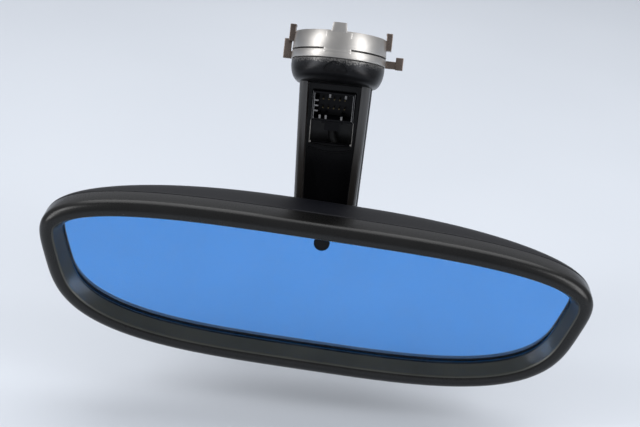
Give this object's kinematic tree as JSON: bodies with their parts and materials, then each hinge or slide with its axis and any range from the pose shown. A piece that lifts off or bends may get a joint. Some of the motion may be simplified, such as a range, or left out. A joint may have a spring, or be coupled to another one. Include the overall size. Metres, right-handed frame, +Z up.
{
  "type": "interior rearview mirror",
  "caption": "Framed self-dimming interior rearview mirror head on a ball joint, carried by a channelled arm with a sprung clip foot and an electrical socket.",
  "frame": {"origin": "centre of the flat seat inside the foot's collar, where the foot rests on the windscreen plate", "axes": "+X to the right of the driver looking at the glass, +Y forward towards the windscreen and away from the driver, +Z up; the glass faces -Y"},
  "size_m": [0.2554, 0.0975, 0.1585],
  "materials": {
    "graphite_casting": "satin",
    "spring_steel": "satin",
    "screw_steel": "satin",
    "arm_black": "gloss",
    "cover_black": "satin",
    "trim_grey": "satin",
    "connector_black": "matte",
    "pin_brass": "plated",
    "harness_black": "matte",
    "stud_steel": "machined",
    "liner_nylon": "natural",
    "cup_grey": "matte",
    "bezel_black": "satin",
    "housing_black": "fine grain",
    "front_glass": "polished",
    "gel": "clear",
    "seal_grey": "matte",
    "mirror_coat": "silvered",
    "clip_copper": "tinned",
    "foam": "foam",
    "carrier_black": "matte",
    "board_green": "solder mask",
    "chip_black": "matte",
    "spacer_nylon": "natural",
    "smoked_lens": "gloss",
    "socket_grey": "glass-filled",
    "plug_white": "natural"
  },
  "bodies": {
    "arm": {"foot_housing": "graphite_casting", "spring_clip": "spring_steel", "foot_screws": "screw_steel", "arm_shell": "arm_black", "arm_rear_cover": "cover_black", "cover_screws": "screw_steel", "connector_bezel": "trim_grey", "connector_housing": "connector_black", "connector_pins": "pin_brass", "connector_latch": "connector_black", "arm_harness": "harness_black", "ball_stud": "stud_steel", "stud_screws": "screw_steel"},
    "swivel_seat": {"ball_liner": "liner_nylon"},
    "tilt_seat": {"friction_cup": "cup_grey"},
    "head": {"front_bezel": "bezel_black", "rear_housing": "housing_black", "front_glass": "front_glass", "gel_layer": "gel", "cell_seal": "seal_grey", "mirror_glass": "mirror_coat", "busbar_clips": "clip_copper", "foam_pad": "foam", "glass_carrier": "carrier_black", "circuit_board": "board_green", "board_components": "chip_black", "board_spacers": "spacer_nylon", "board_screws": "screw_steel", "glare_sensor": "chip_black", "sensor_window": "smoked_lens", "ambient_sensor": "chip_black", "ambient_lens": "smoked_lens", "ball_socket": "socket_grey", "socket_retainer": "socket_grey", "retainer_screws": "screw_steel", "head_harness": "harness_black", "harness_plug": "plug_white"}
  },
  "joints": [
    {"name": "head_swivel", "type": "hinge", "parent": "arm", "child": "swivel_seat", "pos_m": [0, -0.03822, -0.098], "axis": [0, 0, 1], "range_deg": [-15, 15]},
    {"name": "head_tilt", "type": "hinge", "parent": "swivel_seat", "child": "tilt_seat", "pos_m": [0, -0.03822, -0.098], "axis": [1, 0, 0], "range_deg": [-15, 15]},
    {"name": "head_roll", "type": "hinge", "parent": "tilt_seat", "child": "head", "pos_m": [0, -0.03822, -0.098], "axis": [0, 1, 0], "range_deg": [-8, 8]}
  ]
}
